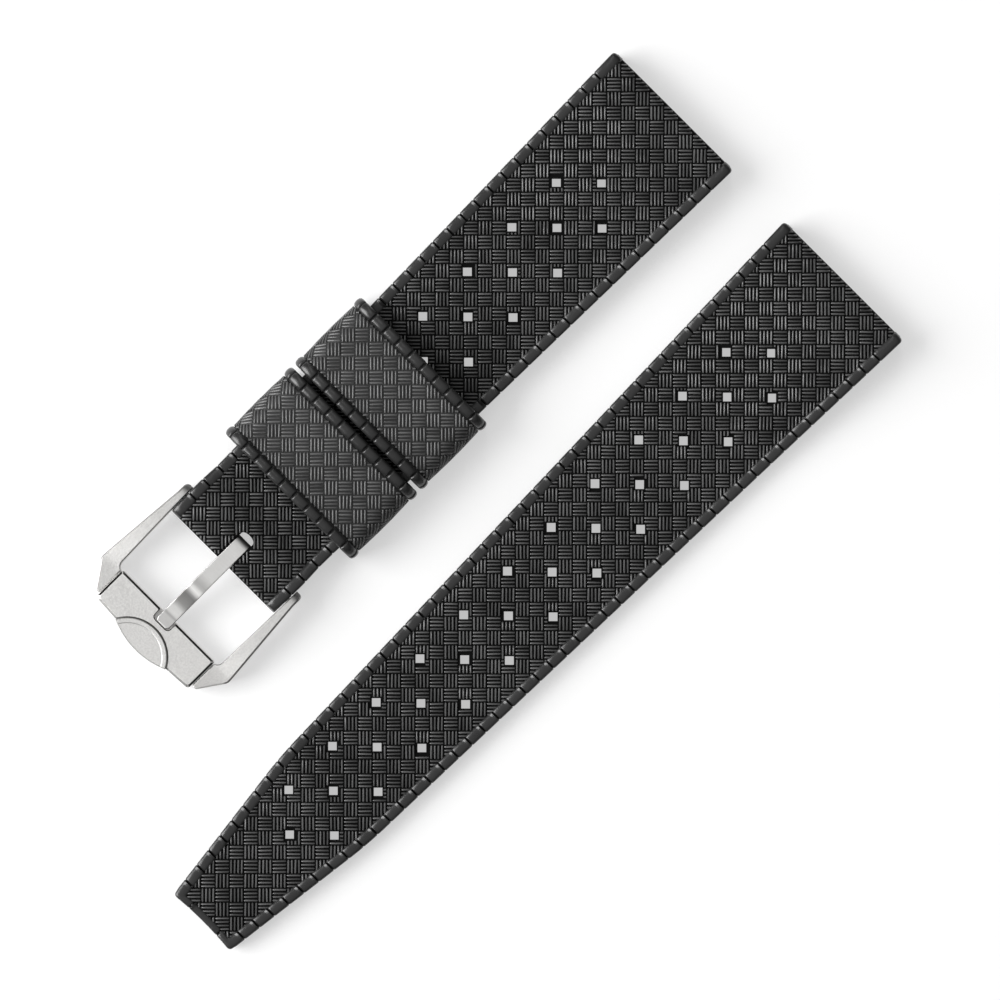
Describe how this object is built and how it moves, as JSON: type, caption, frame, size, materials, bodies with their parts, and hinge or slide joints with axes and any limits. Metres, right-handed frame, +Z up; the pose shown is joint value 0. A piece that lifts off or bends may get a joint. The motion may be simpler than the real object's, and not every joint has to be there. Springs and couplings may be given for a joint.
{
  "type": "rubber dive strap",
  "caption": "Rubber dive strap in halves with a woven surface, ribbed edge beads and square vent holes, sliding keepers and a steel pin buckle on a sprung bar.",
  "frame": {"origin": "middle of the footprint of the open strap, on the table it lies on", "axes": "+X runs along both halves from the lug ends to the buckle and the tip, +Y from the buckle half to the tail half, +Z up"},
  "size_m": [0.108, 0.0492, 0.0066],
  "materials": {
    "black_rubber": "moulded, satin",
    "blasted_steel": "fine blasted",
    "brushed_steel": "brushed across its width",
    "bright_steel": "turned"
  },
  "bodies": {
    "buckle_half": {"buckle_strap": "black_rubber", "spring_bar_tube": "bright_steel", "spring_bar_spring": "bright_steel"},
    "tail_half": {"tail_strap": "black_rubber"},
    "keeper_lugs": {"keeper_by_lugs": "black_rubber"},
    "keeper_buckle": {"keeper_by_buckle": "black_rubber"},
    "frame": {"buckle_frame": "blasted_steel"},
    "tang": {"buckle_tang": "brushed_steel"},
    "tip_left": {"spring_bar_tip_left": "bright_steel"},
    "tip_right": {"spring_bar_tip_right": "bright_steel"}
  },
  "joints": [
    {"name": "tail_lift", "type": "slide", "parent": "buckle_half", "child": "tail_half", "axis": [0, 0, 1], "range_m": [0, 0.03]},
    {"name": "keeper_lugs_slide", "type": "slide", "parent": "buckle_half", "child": "keeper_lugs", "axis": [1, 0, 0], "range_m": [-0.009, 0]},
    {"name": "keeper_buckle_slide", "type": "slide", "parent": "buckle_half", "child": "keeper_buckle", "axis": [1, 0, 0], "range_m": [0, 0.0055]},
    {"name": "frame_swing", "type": "hinge", "parent": "buckle_half", "child": "frame", "pos_m": [0.01965, -0.01395, 0.0023], "axis": [0, 1, 0], "range_deg": [-100, 100]},
    {"name": "tang_swing", "type": "hinge", "parent": "frame", "child": "tang", "pos_m": [0.01965, -0.01395, 0.0023], "axis": [0, -1, 0], "range_deg": [0, 100]},
    {"name": "tip_left_press", "type": "slide", "parent": "buckle_half", "child": "tip_left", "axis": [0, -1, 0], "range_m": [0, 0.00085], "stiffness_N_per_m": 300, "springref_m": -0.001, "deforming": ["spring_bar_spring"]},
    {"name": "tip_right_press", "type": "slide", "parent": "buckle_half", "child": "tip_right", "axis": [0, 1, 0], "range_m": [0, 0.00085], "stiffness_N_per_m": 300, "springref_m": -0.001, "deforming": ["spring_bar_spring"]}
  ]
}
